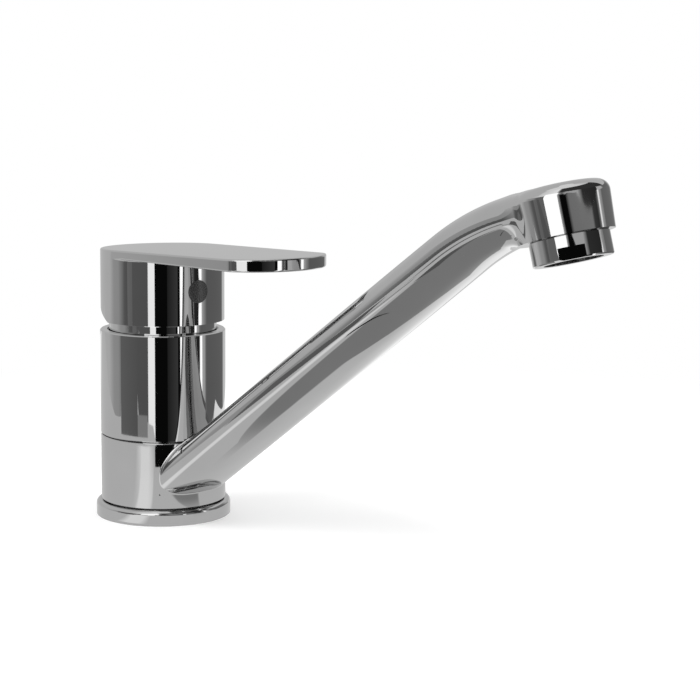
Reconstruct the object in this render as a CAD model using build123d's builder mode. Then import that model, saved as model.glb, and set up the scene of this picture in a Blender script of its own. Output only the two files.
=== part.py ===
from build123d import *
from math import cos, pi, radians, sin, tan
import os

os.makedirs("parts", exist_ok=True)

# Single-lever kitchen mixer tap: a deck-mounted body, a swivelling cast spout under it,
# and a lever on a 35 mm ceramic-disc cartridge. Millimetres and degrees.
# The origin is the centre of the underside of the base, +Z is up and +X is the way the spout points.

# Body, base ring and the joints between them
body_diameter = 50.0
base_diameter = 54.0
base_height = 6.0
base_edge_radius = 1.7
collar_height = 26.5
sleeve_height = 42.0
joint_gap = 0.3
lever_gap = 3.8
edge_chamfer = 0.4
foot_recess = 1.0

# Running and seating clearances
running_clearance = 0.08
seat_clearance = 0.05
face_clearance = 0.1

# Swivel joint: the neck of the body inside the collar of the spout
collar_bore_diameter = 40.0
spigot_diameter = 37.8
ledge_thickness = 1.6
slide_ring_height = 2.0
slide_ring_width = 2.6
seal_wire = 2.0
seal_groove_width = 2.8
seal_end_distance = 2.7
waterway_groove_height = 12.4
waterway_groove_depth = 2.5
clip_thickness = 1.2
clip_width = 2.6
clip_groove_depth = 1.0
clip_gap_angle = 40.0
gasket_width = 2.6
gasket_height = 2.0
gasket_inset = 1.9

# Connections under the body
stud_thread_radius = 3.4
stud_thread_depth = 12.0
stud_offset = 9.5
hose_thread_radius = 4.5
hose_thread_depth = 12.0
port_offset_front = 4.0
port_offset_side = 7.5
outlet_offset = 8.0
port_radius = 3.3

# Cartridge
cartridge_diameter = 35.0
cartridge_floor = 46.0
cartridge_base_height = 4.0
lower_disc_height = 3.5
upper_disc_height = 2.5
upper_disc_radius = 11.6
mixing_pocket_depth = 1.5
mixing_pocket_radius = 8.6
carrier_height = 5.4
carrier_pocket_depth = 4.3
housing_wall = 2.0
housing_roof = 2.5
housing_neck_radius = 14.2
housing_neck_height = 9.5
turret_radius = 12.4
turret_flange_height = 1.8
turret_flange_radius = 15.1
turret_top_above_pin = 4.0
nut_height = 8.0
nut_thread_radius = 19.7
nut_slot_width = 4.0
nut_slot_depth = 2.5
nut_slots = 6
neck_ring_radius = 21.5
neck_ring_height = 6.0
neck_ring_seat_depth = 1.5
neck_ring_wall = 1.4
neck_ring_edge_radius = 1.3
neck_ring_side_gap = 0.7
seal_radius = 4.7

# Lever mechanism: the stem turns on a pin in the turret and slides the upper disc
lever_azimuth = -7.2
lever_lift = 24.0
pin_radius = 1.5
pin_height = 76.0
stem_width = 8.0
stem_reach_up = 24.5
stem_reach_down = 15.5
stem_neck_radius = 2.4
stem_ball_radius = 2.6
ball_clearance = 0.25
stem_slot_clearance = 0.9

# Lever handle
lever_radius = 24.65
lever_wall = 2.0
lever_roof = 4.0
lever_height = 28.9
lever_rise = 1.8
underside_rise = 0.8
blade_thickness = 3.4
blade_reach = 88.0
blade_taper = 1.8
blade_tip_radius = 26.0
blade_corner_radius = 6.0
blade_edge_radius = 0.7
rear_cut_angle = 25.0
rear_cut_start = 2.3
boss_front = 15.0
boss_back = 7.5
boss_width = 14.0
boss_clearance = 6.0
plug_height = 13.2
plug_radius = 4.5
plug_depth = 3.4
screw_radius = 2.5
screw_length = 8.0
screw_socket = 2.5
screw_socket_depth = 3.0

# Spout arm: a straight rising run, one bend, then the head
arm_axis_height = 5.6
arm_bend_distance = 30.0
arm_bend_radius = 94.0
arm_half_width_root = 17.6
arm_half_width_head = 14.4
arm_half_height_root = 9.1
arm_half_height_head = 7.6
arm_oval = 2.3
arm_flattening = 8
arm_sections = 14
oval_points = 24
arm_root_place = 0.03
waterway_root_place = 0.05
arm_root_radius = 1.2
waterway_half_width_root = 13.6
waterway_half_width_head = 9.0
waterway_half_height_root = 5.4
waterway_half_height_head = 2.5

# Spout head, with its axis leaning outwards
reach = 198.2
head_rim_height = 125.0
head_lean = 15.5
head_rim_radius = 15.4
head_top_radius = 16.2
head_dome_height = 17.3
head_dome_drop = 1.3
head_edge_radius = 4.0
head_arm_height = 9.6
head_chamber_radius = 10.2
head_chamber_height = 13.0

# Aerator, with the standard M24 x 1 male thread
aerator_thread_radius = 12.0
aerator_thread_height = 6.0
aerator_collar_radius = 13.4
aerator_collar_height = 8.2
aerator_bore_radius = 10.7
aerator_lip_radius = 9.9
aerator_lip_height = 1.2
aerator_flats = 25.3
aerator_flat_height = 4.1
aerator_flat_azimuth = -54.0
aerator_edge_chamfer = 0.4
aerator_gasket_height = 1.5
grille_thickness = 3.0
grille_pitch = 2.4
grille_web = 0.5
insert_wall = 1.2
screen_height = 1.2
screen_hole_radius = 0.55
screen_pitch = 2.4

# Heights worked out from the sizes above
body_radius = body_diameter / 2
base_radius = base_diameter / 2
collar_bottom = base_height + joint_gap
collar_top = collar_bottom + collar_height
sleeve_bottom = collar_top + joint_gap
sleeve_top = sleeve_bottom + sleeve_height
lever_bottom = sleeve_top + lever_gap
bore_radius = collar_bore_diameter / 2
neck_radius = bore_radius - running_clearance
spigot_radius = spigot_diameter / 2
ledge_bottom = base_height - ledge_thickness
slide_ring_radius = neck_radius + seat_clearance + slide_ring_width
groove_floor = neck_radius - seal_wire + seat_clearance
lower_seal_height = collar_bottom + slide_ring_height + seal_end_distance
upper_seal_height = collar_top - slide_ring_height - seal_end_distance
waterway_middle = (lower_seal_height + upper_seal_height) / 2
waterway_floor = neck_radius - waterway_groove_depth

cartridge_radius = cartridge_diameter / 2
lower_disc_bottom = cartridge_floor + cartridge_base_height
upper_disc_bottom = lower_disc_bottom + lower_disc_height + seat_clearance
carrier_bottom = upper_disc_bottom + upper_disc_height
carrier_top = carrier_bottom + carrier_height
turret_flange_bottom = carrier_top + face_clearance
housing_roof_bottom = turret_flange_bottom + turret_flange_height + face_clearance
housing_shoulder = housing_roof_bottom + housing_roof
housing_top = housing_shoulder + housing_neck_height
turret_top = pin_height + turret_top_above_pin
nut_top = housing_shoulder + nut_height
neck_ring_bottom = sleeve_top - neck_ring_seat_depth
neck_ring_top = neck_ring_bottom + neck_ring_height
neck_ring_bore = housing_neck_radius + 5 * face_clearance

# The stem leans forward by half its travel when the lever is down
stem_lean = lever_lift / 2
disc_offset = -stem_reach_down * sin(radians(stem_lean))

# Direction of the lever seen from above, and the planes that its pieces are drawn on
lever_direction = Vector(1, 0, 0).rotate(Axis.Z, lever_azimuth)
lever_side = lever_direction.rotate(Axis.Z, 90)


def lever_plan(height):
    """Horizontal plane at a height, with its x along the lever."""
    return Plane(origin=(0, 0, height), x_dir=lever_direction, z_dir=(0, 0, 1))


def lever_elevation(offset=0.0):
    """Upright plane through the lever's middle, x along the lever and y up."""
    return Plane(origin=lever_side * offset, x_dir=lever_direction, z_dir=lever_side * -1)


def lever_front(distance, height):
    """Upright plane facing along the lever, at a distance from the axis."""
    origin = lever_direction * distance + Vector(0, 0, height)
    return Plane(origin=origin, x_dir=lever_side, z_dir=lever_direction)


def tilted_plan(distance, height, rise):
    """Plane through a point of the lever's middle, rising along the lever by an angle."""
    origin = lever_direction * distance + Vector(0, 0, height)
    normal = lever_direction * -sin(radians(rise)) + Vector(0, 0, cos(radians(rise)))
    return Plane(origin=origin, x_dir=lever_side, z_dir=normal)


def disc_plan(height):
    """Horizontal plane centred on the sliding disc in its closed place."""
    origin = lever_direction * disc_offset + Vector(0, 0, height)
    return Plane(origin=origin, x_dir=lever_direction, z_dir=(0, 0, 1))


def section(points, plane=Plane.XZ):
    """Closed outline through (radius, height) points, ready to revolve."""
    with BuildSketch(plane) as outline:
        with BuildLine():
            Polyline(*points, close=True)
        make_face()
    return outline.sketch


def block(bottom, top, inner, outer):
    """Rectangular section of a ring about the Z axis."""
    return section([(inner, bottom), (outer, bottom), (outer, top), (inner, top)])


# Places of the two inlets and the mixed-water outlet, seen from above
inlet_places = [(port_offset_front, port_offset_side), (port_offset_front, -port_offset_side)]
outlet_place = (-outlet_offset, 0)
port_places = inlet_places + [outlet_place]


# Body casting: spigot and neck below, the visible sleeve with the cartridge chamber above
with BuildPart() as body_casting:
    revolve(
        section(
            [
                (0, foot_recess),
                (spigot_radius, foot_recess),
                (spigot_radius, base_height),
                (neck_radius, base_height),
                (neck_radius, sleeve_bottom),
                (body_radius, sleeve_bottom),
                (body_radius, sleeve_top),
                (0, sleeve_top),
            ]
        ),
        axis=Axis.Z,
    )
    outer_edges = body_casting.edges().filter_by(GeomType.CIRCLE)
    sleeve_edges = outer_edges.filter_by(lambda edge: edge.radius > body_radius - seat_clearance)
    chamfer(sleeve_edges, edge_chamfer)
    # Cartridge chamber, the thread of its nut and the seat of the neck ring
    with BuildSketch(Plane.XY.offset(cartridge_floor)):
        Circle(cartridge_radius + face_clearance)
    extrude(amount=sleeve_top - cartridge_floor, mode=Mode.SUBTRACT)
    with BuildSketch(Plane.XY.offset(housing_shoulder)):
        Circle(nut_thread_radius + seat_clearance)
    extrude(amount=sleeve_top - housing_shoulder, mode=Mode.SUBTRACT)
    with BuildSketch(Plane.XY.offset(neck_ring_bottom)):
        Circle(neck_ring_radius + neck_ring_side_gap)
    extrude(amount=neck_ring_seat_depth, mode=Mode.SUBTRACT)
    # Grooves of the two seals, of the waterway between them and of the clip
    for height in (lower_seal_height, upper_seal_height):
        half = seal_groove_width / 2
        revolve(
            block(height - half, height + half, groove_floor, bore_radius),
            axis=Axis.Z,
            mode=Mode.SUBTRACT,
        )
    half = waterway_groove_height / 2
    revolve(
        block(waterway_middle - half, waterway_middle + half, waterway_floor, bore_radius),
        axis=Axis.Z,
        mode=Mode.SUBTRACT,
    )
    revolve(
        block(
            ledge_bottom - clip_thickness,
            ledge_bottom,
            spigot_radius - clip_groove_depth,
            spigot_radius,
        ),
        axis=Axis.Z,
        mode=Mode.SUBTRACT,
    )
    # Hose inlets, with the wider thread at the foot
    with BuildSketch(Plane.XY.offset(foot_recess)):
        with Locations(*inlet_places):
            Circle(port_radius)
    extrude(amount=cartridge_floor - foot_recess, mode=Mode.SUBTRACT)
    with BuildSketch(Plane.XY.offset(foot_recess)):
        with Locations(*inlet_places):
            Circle(hose_thread_radius)
    extrude(amount=hose_thread_depth, mode=Mode.SUBTRACT)
    # Thread for the fixing stud
    with BuildSketch(Plane.XY.offset(foot_recess)):
        with Locations((-stud_offset, 0)):
            Circle(stud_thread_radius)
    extrude(amount=stud_thread_depth, mode=Mode.SUBTRACT)
    # Mixed water: down from the chamber, then out into the neck's groove
    with BuildSketch(Plane.XY.offset(waterway_middle)):
        with Locations(outlet_place):
            Circle(port_radius)
    extrude(amount=cartridge_floor - waterway_middle, mode=Mode.SUBTRACT)
    with BuildSketch(Plane.YZ.offset(-neck_radius)):
        with Locations((0, waterway_middle)):
            Circle(port_radius)
    extrude(amount=neck_radius - outlet_offset, mode=Mode.SUBTRACT)
body_casting.part.label = "body_casting"
export_step(body_casting.part, "parts/body_casting.step")


# Base ring: carries the body on its ledge and the spout on the lower slide ring
gasket_outer = base_radius - gasket_inset
gasket_inner = gasket_outer - gasket_width
with BuildPart() as base_ring:
    revolve(
        section(
            [
                (spigot_radius + seat_clearance, ledge_bottom),
                (gasket_inner - gasket_inset, ledge_bottom),
                (gasket_inner - gasket_inset, 0),
                (base_radius, 0),
                (base_radius, base_height),
                (spigot_radius + seat_clearance, base_height),
            ]
        ),
        axis=Axis.Z,
    )
    revolve(block(0, gasket_height, gasket_inner, gasket_outer), axis=Axis.Z, mode=Mode.SUBTRACT)
    rim = base_ring.edges().filter_by(GeomType.CIRCLE).group_by(Axis.Z)[-1].sort_by(SortBy.RADIUS)[-1]
    fillet(rim, base_edge_radius)
base_ring.part.label = "base_ring"
export_step(base_ring.part, "parts/base_ring.step")


# Rubber gasket between the base ring and the worktop
with BuildPart() as base_gasket:
    revolve(block(0, gasket_height, gasket_inner, gasket_outer), axis=Axis.Z)
base_gasket.part.label = "base_gasket"
export_step(base_gasket.part, "parts/base_gasket.step")


# Open spring clip that keeps the base ring on the spigot
with BuildPart() as retaining_clip:
    with BuildSketch(Plane.XY.offset(ledge_bottom - clip_thickness)):
        Circle(spigot_radius - clip_groove_depth + clip_width)
        Circle(spigot_radius - clip_groove_depth, mode=Mode.SUBTRACT)
        with BuildLine():
            opening = 2 * spigot_radius
            spread = opening * tan(radians(clip_gap_angle / 2))
            Polyline((0, 0), (opening, spread), (opening, -spread), close=True)
        make_face(mode=Mode.SUBTRACT)
    extrude(amount=clip_thickness)
retaining_clip.part.label = "retaining_clip"
export_step(retaining_clip.part, "parts/retaining_clip.step")


# Slide rings that carry the spout's collar, one on the base ring and one under the sleeve
with BuildPart() as lower_slide_ring:
    revolve(
        block(base_height, base_height + slide_ring_height, neck_radius + seat_clearance, slide_ring_radius),
        axis=Axis.Z,
    )
lower_slide_ring.part.label = "lower_slide_ring"
export_step(lower_slide_ring.part, "parts/lower_slide_ring.step")

with BuildPart() as upper_slide_ring:
    revolve(
        block(sleeve_bottom - slide_ring_height, sleeve_bottom, neck_radius + seat_clearance, slide_ring_radius),
        axis=Axis.Z,
    )
upper_slide_ring.part.label = "upper_slide_ring"
export_step(upper_slide_ring.part, "parts/upper_slide_ring.step")


# The two rubber seals between the neck and the collar
with BuildPart() as spout_seals:
    for height in (lower_seal_height, upper_seal_height):
        with BuildSketch(Plane.XZ):
            with Locations((neck_radius - seal_wire / 2 + seat_clearance, height)):
                Circle(seal_wire / 2)
        revolve(axis=Axis.Z)
spout_seals.part.label = "spout_seals"
export_step(spout_seals.part, "parts/spout_seals.step")


# Bottom cover of the cartridge, pierced for the three ports
with BuildPart() as cartridge_base:
    with BuildSketch(Plane.XY.offset(cartridge_floor)):
        Circle(cartridge_radius)
        with Locations(*port_places):
            Circle(seal_radius, mode=Mode.SUBTRACT)
    extrude(amount=cartridge_base_height)
cartridge_base.part.label = "cartridge_base"
export_step(cartridge_base.part, "parts/cartridge_base.step")


# Rubber sleeves that seal the ports from the chamber floor to the lower disc
with BuildPart() as port_seals:
    with BuildSketch(Plane.XY.offset(cartridge_floor)):
        with Locations(*port_places):
            Circle(seal_radius)
            Circle(port_radius, mode=Mode.SUBTRACT)
    extrude(amount=cartridge_base_height)
port_seals.part.label = "port_seals"
export_step(port_seals.part, "parts/port_seals.step")


# Fixed ceramic disc
with BuildPart() as lower_ceramic_disc:
    with BuildSketch(Plane.XY.offset(lower_disc_bottom)):
        Circle(cartridge_radius - housing_wall - seat_clearance)
        with Locations(*port_places):
            Circle(port_radius, mode=Mode.SUBTRACT)
    extrude(amount=lower_disc_height)
lower_ceramic_disc.part.label = "lower_ceramic_disc"
export_step(lower_ceramic_disc.part, "parts/lower_ceramic_disc.step")


# Sliding ceramic disc, with the mixing pocket in its underside
with BuildPart() as upper_ceramic_disc:
    with BuildSketch(disc_plan(upper_disc_bottom)):
        Circle(upper_disc_radius)
    extrude(amount=upper_disc_height)
    with BuildSketch(disc_plan(upper_disc_bottom)):
        Circle(mixing_pocket_radius)
    extrude(amount=mixing_pocket_depth, mode=Mode.SUBTRACT)
upper_ceramic_disc.part.label = "upper_ceramic_disc"
export_step(upper_ceramic_disc.part, "parts/upper_ceramic_disc.step")


# Carrier on the sliding disc, with the pocket that the stem's ball works in
with BuildPart() as disc_carrier:
    with BuildSketch(disc_plan(carrier_bottom)):
        Circle(upper_disc_radius)
    extrude(amount=carrier_height)
    with BuildSketch(disc_plan(carrier_top)):
        Rectangle(2 * (stem_ball_radius + ball_clearance), 2 * (stem_ball_radius + ball_clearance))
    extrude(amount=-carrier_pocket_depth, mode=Mode.SUBTRACT)
disc_carrier.part.label = "disc_carrier"
export_step(disc_carrier.part, "parts/disc_carrier.step")


# Cartridge housing, open below, with a neck that guides the turret
with BuildPart() as cartridge_housing:
    revolve(
        section(
            [
                (cartridge_radius - housing_wall, lower_disc_bottom),
                (cartridge_radius, lower_disc_bottom),
                (cartridge_radius, housing_shoulder),
                (housing_neck_radius, housing_shoulder),
                (housing_neck_radius, housing_top),
                (turret_radius + running_clearance, housing_top),
                (turret_radius + running_clearance, housing_roof_bottom),
                (cartridge_radius - housing_wall, housing_roof_bottom),
            ]
        ),
        axis=Axis.Z,
    )
cartridge_housing.part.label = "cartridge_housing"
export_step(cartridge_housing.part, "parts/cartridge_housing.step")


# Brass nut that holds the cartridge down
with BuildPart() as cartridge_nut:
    with BuildSketch(Plane.XY.offset(housing_shoulder)):
        Circle(nut_thread_radius)
        Circle(housing_neck_radius + face_clearance, mode=Mode.SUBTRACT)
    extrude(amount=nut_height)
    with BuildSketch(Plane.XY.offset(nut_top)):
        with PolarLocations(nut_thread_radius, nut_slots):
            Rectangle(2 * nut_slot_depth, nut_slot_width)
    extrude(amount=-nut_slot_depth, mode=Mode.SUBTRACT)
cartridge_nut.part.label = "cartridge_nut"
export_step(cartridge_nut.part, "parts/cartridge_nut.step")


# Chromed ring that covers the nut between the sleeve and the lever
with BuildPart() as neck_ring:
    revolve(
        section(
            [
                (neck_ring_radius - neck_ring_wall, neck_ring_bottom),
                (neck_ring_radius, neck_ring_bottom),
                (neck_ring_radius, neck_ring_top),
                (neck_ring_bore, neck_ring_top),
                (neck_ring_bore, neck_ring_top - neck_ring_wall),
                (neck_ring_radius - neck_ring_wall, neck_ring_top - neck_ring_wall),
            ]
        ),
        axis=Axis.Z,
    )
    rim = neck_ring.edges().filter_by(GeomType.CIRCLE).group_by(Axis.Z)[-1].sort_by(SortBy.RADIUS)[-1]
    fillet(rim, neck_ring_edge_radius)
neck_ring.part.label = "neck_ring"
export_step(neck_ring.part, "parts/neck_ring.step")


# Turret of the cartridge: turns with the lever and holds its pin
slot_half_length = stem_width / 2 / cos(radians(stem_lean)) + turret_top_above_pin * tan(radians(stem_lean))
with BuildPart() as cartridge_turret:
    revolve(
        section(
            [
                (0, turret_flange_bottom),
                (turret_flange_radius, turret_flange_bottom),
                (turret_flange_radius, turret_flange_bottom + turret_flange_height),
                (turret_radius, turret_flange_bottom + turret_flange_height),
                (turret_radius, turret_top),
                (0, turret_top),
            ]
        ),
        axis=Axis.Z,
    )
    with BuildSketch(lever_plan(turret_flange_bottom)):
        Rectangle(2 * (slot_half_length + stem_slot_clearance), stem_width + stem_slot_clearance)
    extrude(amount=turret_top - turret_flange_bottom, mode=Mode.SUBTRACT)
    with BuildSketch(lever_elevation(-turret_radius)):
        with Locations((0, pin_height)):
            Circle(pin_radius)
    extrude(amount=-2 * turret_radius, mode=Mode.SUBTRACT)
cartridge_turret.part.label = "cartridge_turret"
export_step(cartridge_turret.part, "parts/cartridge_turret.step")


# Steel pin across the turret, cut to the turret's curve
with BuildPart() as lever_pin:
    with BuildSketch(lever_elevation(-turret_radius)):
        with Locations((0, pin_height)):
            Circle(pin_radius)
    extrude(amount=-2 * turret_radius)
    with BuildSketch(Plane.XY.offset(pin_height - 2 * pin_radius)):
        Circle(turret_radius)
    extrude(amount=4 * pin_radius, mode=Mode.INTERSECT)
lever_pin.part.label = "lever_pin"
export_step(lever_pin.part, "parts/lever_pin.step")


# Stem: square above, round below the pin, with a ball end in the carrier
pin_point = Vector(0, 0, pin_height)
stem_axis = lever_direction * sin(radians(stem_lean)) + Vector(0, 0, cos(radians(stem_lean)))
stem_plane = Plane(origin=pin_point, x_dir=lever_side, z_dir=stem_axis)
with BuildPart() as lever_stem:
    with BuildSketch(stem_plane.offset(-stem_width / 2)):
        Rectangle(stem_width, stem_width)
    extrude(amount=stem_width / 2 + stem_reach_up)
    chamfer(lever_stem.faces().sort_by(Axis.Z)[-1].edges(), edge_chamfer)
    with BuildSketch(stem_plane.offset(-stem_reach_down)):
        Circle(stem_neck_radius)
    extrude(amount=stem_reach_down - stem_width / 4)
    with Locations(stem_plane.offset(-stem_reach_down)):
        Sphere(stem_ball_radius)
    with BuildSketch(lever_elevation(-turret_radius)):
        with Locations((0, pin_height)):
            Circle(pin_radius + seat_clearance)
    extrude(amount=-2 * turret_radius, mode=Mode.SUBTRACT)
lever_stem.part.label = "lever_stem"
export_step(lever_stem.part, "parts/lever_stem.step")


# Plan of the lever: the cup's circle, sides that leave it as tangents, and a wide round tip
with BuildSketch() as lever_outline:
    Circle(lever_radius)
    side_normal = Vector(sin(radians(blade_taper)), cos(radians(blade_taper)))
    side_run = Vector(cos(radians(blade_taper)), -sin(radians(blade_taper)))
    tip_centre = Vector(blade_reach - blade_tip_radius, 0)
    inset = lever_radius - tip_centre.dot(side_normal)
    side_end = tip_centre + side_normal * inset + side_run * (blade_tip_radius**2 - inset**2) ** 0.5
    side_start = side_normal * lever_radius
    with BuildLine():
        Polyline((0, 0), side_start, side_end)
        ThreePointArc(side_end, (blade_reach, 0), (side_end.X, -side_end.Y))
        Polyline((side_end.X, -side_end.Y), (side_start.X, -side_start.Y), (0, 0))
    make_face()
    fillet(lever_outline.vertices().group_by(Axis.X)[-1], blade_corner_radius)


# Lever handle: a cup over the cartridge and a blade that thickens outwards, cut away below at the back
lever_top = lever_bottom + lever_height
top_plane = tilted_plan(0, lever_top, lever_rise)
underside_plane = tilted_plan(0, lever_top - blade_thickness, underside_rise)
rear_plane = tilted_plan(-rear_cut_start, lever_bottom, -rear_cut_angle)
boss_bottom = turret_top + boss_clearance
cavity_top = lever_top - lever_roof - lever_radius * tan(radians(lever_rise))
plug_place = lever_bottom + plug_height
with BuildPart() as lever_handle:
    with BuildSketch(lever_plan(lever_bottom)):
        add(lever_outline.sketch)
    extrude(amount=2 * lever_height)
    split(bisect_by=underside_plane, keep=Keep.TOP)
    with BuildSketch(lever_plan(lever_bottom)):
        Circle(lever_radius)
    extrude(amount=2 * lever_height)
    split(bisect_by=top_plane, keep=Keep.BOTTOM)
    split(bisect_by=rear_plane, keep=Keep.TOP)
    blade_faces = lever_handle.faces().filter_by(top_plane).sort_by(Axis.Z)
    fillet(blade_faces[-1].edges(), blade_edge_radius)
    underside = lever_handle.faces().filter_by(underside_plane).sort_by(Axis.Z)[0]
    underside_edges = underside.edges().sort_by(lambda edge: (edge @ 0.5 - Vector(0, 0, lever_top)).length)
    fillet(underside_edges[1:], blade_edge_radius)
    # Hollow of the cup, with a boss for the stem hanging from its roof
    with BuildSketch(lever_plan(lever_bottom)):
        Circle(lever_radius - lever_wall)
    extrude(amount=cavity_top - lever_bottom, mode=Mode.SUBTRACT)
    with BuildSketch(lever_plan(boss_bottom)):
        with Locations(((boss_front - boss_back) / 2, 0)):
            Rectangle(boss_front + boss_back, boss_width)
    extrude(amount=cavity_top - boss_bottom)
    # Slanted square socket for the stem
    with BuildSketch(stem_plane):
        Rectangle(stem_width + 2 * seat_clearance, stem_width + 2 * seat_clearance)
    extrude(amount=stem_reach_up + face_clearance, mode=Mode.SUBTRACT)
    # Hole for the grub screw in the boss, and the wider one for the index plug in the wall
    with BuildSketch(lever_front(0, plug_place)):
        Circle(screw_radius + seat_clearance)
    extrude(amount=boss_front, mode=Mode.SUBTRACT)
    with BuildSketch(lever_front(boss_front + face_clearance, plug_place)):
        Circle(plug_radius + seat_clearance)
    extrude(amount=lever_radius - boss_front, mode=Mode.SUBTRACT)
lever_handle.part.label = "lever_handle"
export_step(lever_handle.part, "parts/lever_handle.step")


# Grub screw that clamps the handle on the stem, turned with a hexagon key
screw_tip = stem_width / 2 / cos(radians(stem_lean)) + seat_clearance
screw_tip += (plug_place + screw_radius - pin_height) * tan(radians(stem_lean))
with BuildPart() as grub_screw:
    with BuildSketch(lever_front(screw_tip, plug_place)):
        Circle(screw_radius)
    extrude(amount=screw_length)
    with BuildSketch(lever_front(screw_tip + screw_length, plug_place)):
        RegularPolygon(screw_socket / 2, 6, major_radius=False)
    extrude(amount=-screw_socket_depth, mode=Mode.SUBTRACT)
grub_screw.part.label = "grub_screw"
export_step(grub_screw.part, "parts/grub_screw.step")


# Index plug in the front of the cup, its face curved like the cup
with BuildPart() as index_plug:
    with BuildSketch(lever_front(lever_radius - plug_depth, plug_place)):
        Circle(plug_radius)
    extrude(amount=2 * plug_depth)
    with BuildSketch(lever_plan(lever_bottom)):
        Circle(lever_radius - seat_clearance)
    extrude(amount=lever_height, mode=Mode.INTERSECT)
index_plug.part.label = "index_plug"
export_step(index_plug.part, "parts/index_plug.step")


# Frame of the head: the rim's centre, outwards and upwards along its leaning axis
head_out = Vector(cos(radians(head_lean)), 0, sin(radians(head_lean)))
head_up = Vector(-sin(radians(head_lean)), 0, cos(radians(head_lean)))
rim_centre = Vector(reach, 0, head_rim_height)
head_axis = Axis(rim_centre, head_up)
head_section = Plane(origin=rim_centre, x_dir=head_out, z_dir=(0, -1, 0))


def head_plan(height):
    """Plane square to the head's axis, at a height above its rim."""
    return Plane(origin=rim_centre + head_up * height, x_dir=head_out, z_dir=head_up)


# Centre line of the arm: up from the body's axis, round the bend, and square into the head
arm_start = Vector(0, 0, arm_axis_height)
arm_end = rim_centre + head_up * head_arm_height
arm_corner = arm_end - head_out * arm_bend_distance
with BuildLine() as arm_line:
    FilletPolyline(arm_start, arm_corner, arm_end, radius=arm_bend_radius)
arm_path = arm_line.wires()[0]


def oval(plane, half_width, half_height):
    """Rounded oval section, fuller than an ellipse."""
    power = 2 / arm_oval
    points = []
    for step in range(oval_points):
        turn = 2 * pi * step / oval_points
        side = abs(cos(turn)) ** power * (1 if cos(turn) > 0 else -1)
        rise = abs(sin(turn)) ** power * (1 if sin(turn) > 0 else -1)
        points.append((half_width * side, half_height * rise))
    with BuildSketch(plane) as outline:
        with BuildLine():
            Spline(*points, periodic=True)
        make_face()
    return outline.sketch


def arm_loft(start, half_widths, half_heights, mode):
    """Sweeps a changing oval along the arm: it narrows evenly, and flattens near the head."""
    ovals = []
    for step in range(arm_sections):
        place = start + (1 - start) * step / (arm_sections - 1)
        plane = Plane(origin=arm_path @ place, x_dir=(0, 1, 0), z_dir=arm_path % place)
        width = half_widths[0] + (half_widths[1] - half_widths[0]) * place**2
        height = half_heights[0] + (half_heights[1] - half_heights[0]) * place**arm_flattening
        ovals.append(oval(plane, width, height))
    loft(ovals, mode=mode)


# Head: it leans, widens a little upwards, and has a low domed top with a soft edge
dome_edge_height = head_dome_height - head_dome_drop
with BuildSketch(head_section) as head_profile:
    with BuildLine():
        dome_edge = (head_top_radius, dome_edge_height)
        Polyline((0, head_dome_height), (0, 0), (head_rim_radius, 0), dome_edge)
        dome_middle = (head_top_radius / 2, head_dome_height - head_dome_drop / 4)
        ThreePointArc(dome_edge, dome_middle, (0, head_dome_height))
    make_face()
    dome_corner = head_profile.vertices().sort_by_distance(dome_edge)[0]
    fillet(dome_corner, head_edge_radius)


# Spout casting: the collar round the neck, the arm and the head in one piece
collar_ceiling = collar_top + 2 * arm_half_height_root
sleeve_clearance_radius = body_radius + joint_gap
with BuildPart() as spout_casting:
    with BuildSketch(Plane.XY.offset(collar_bottom)):
        Circle(body_radius)
    extrude(amount=collar_ceiling - collar_bottom)
    arm_loft(
        arm_root_place,
        (arm_half_width_root, arm_half_width_head),
        (arm_half_height_root, arm_half_height_head),
        Mode.ADD,
    )
    root_edges = spout_casting.edges().filter_by(
        lambda edge: abs(Vector((edge @ 0.5).X, (edge @ 0.5).Y).length - body_radius) < seat_clearance
        and collar_bottom + seat_clearance < (edge @ 0.5).Z < collar_ceiling - seat_clearance
        and edge.geom_type != GeomType.LINE
    )
    fillet(root_edges, arm_root_radius)
    revolve(head_profile.sketch, axis=head_axis)
    # Room for the sleeve above the collar, then the bore and the seats of the slide rings
    with BuildSketch(Plane.XY.offset(collar_top)):
        Circle(sleeve_clearance_radius)
    extrude(amount=collar_ceiling, mode=Mode.SUBTRACT)
    outer_edges = spout_casting.edges().filter_by(GeomType.CIRCLE)
    collar_edges = outer_edges.filter_by(
        lambda edge: abs(edge.radius - body_radius) < seat_clearance
        and edge.length > body_radius
        and (edge @ 0.5).Z < collar_top + seat_clearance
    )
    chamfer(collar_edges, edge_chamfer)
    with BuildSketch(Plane.XY):
        Circle(bore_radius)
    extrude(amount=collar_ceiling, mode=Mode.SUBTRACT)
    ring_seat_radius = slide_ring_radius + face_clearance
    lower_seat_top = base_height + slide_ring_height + face_clearance
    upper_seat_bottom = sleeve_bottom - slide_ring_height - face_clearance
    revolve(block(0, lower_seat_top, 0, ring_seat_radius), axis=Axis.Z, mode=Mode.SUBTRACT)
    revolve(block(upper_seat_bottom, collar_ceiling, 0, ring_seat_radius), axis=Axis.Z, mode=Mode.SUBTRACT)
    # Seat of the aerator, the chamber above it and the waterway along the arm
    with BuildSketch(head_plan(0)):
        Circle(aerator_thread_radius + seat_clearance)
    extrude(amount=aerator_thread_height + aerator_gasket_height, mode=Mode.SUBTRACT)
    with BuildSketch(head_plan(0)):
        Circle(head_chamber_radius)
    extrude(amount=head_chamber_height, mode=Mode.SUBTRACT)
    arm_loft(
        waterway_root_place,
        (waterway_half_width_root, waterway_half_width_head),
        (waterway_half_height_root, waterway_half_height_head),
        Mode.SUBTRACT,
    )
spout_casting.part.label = "spout_casting"
export_step(spout_casting.part, "parts/spout_casting.step")


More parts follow.
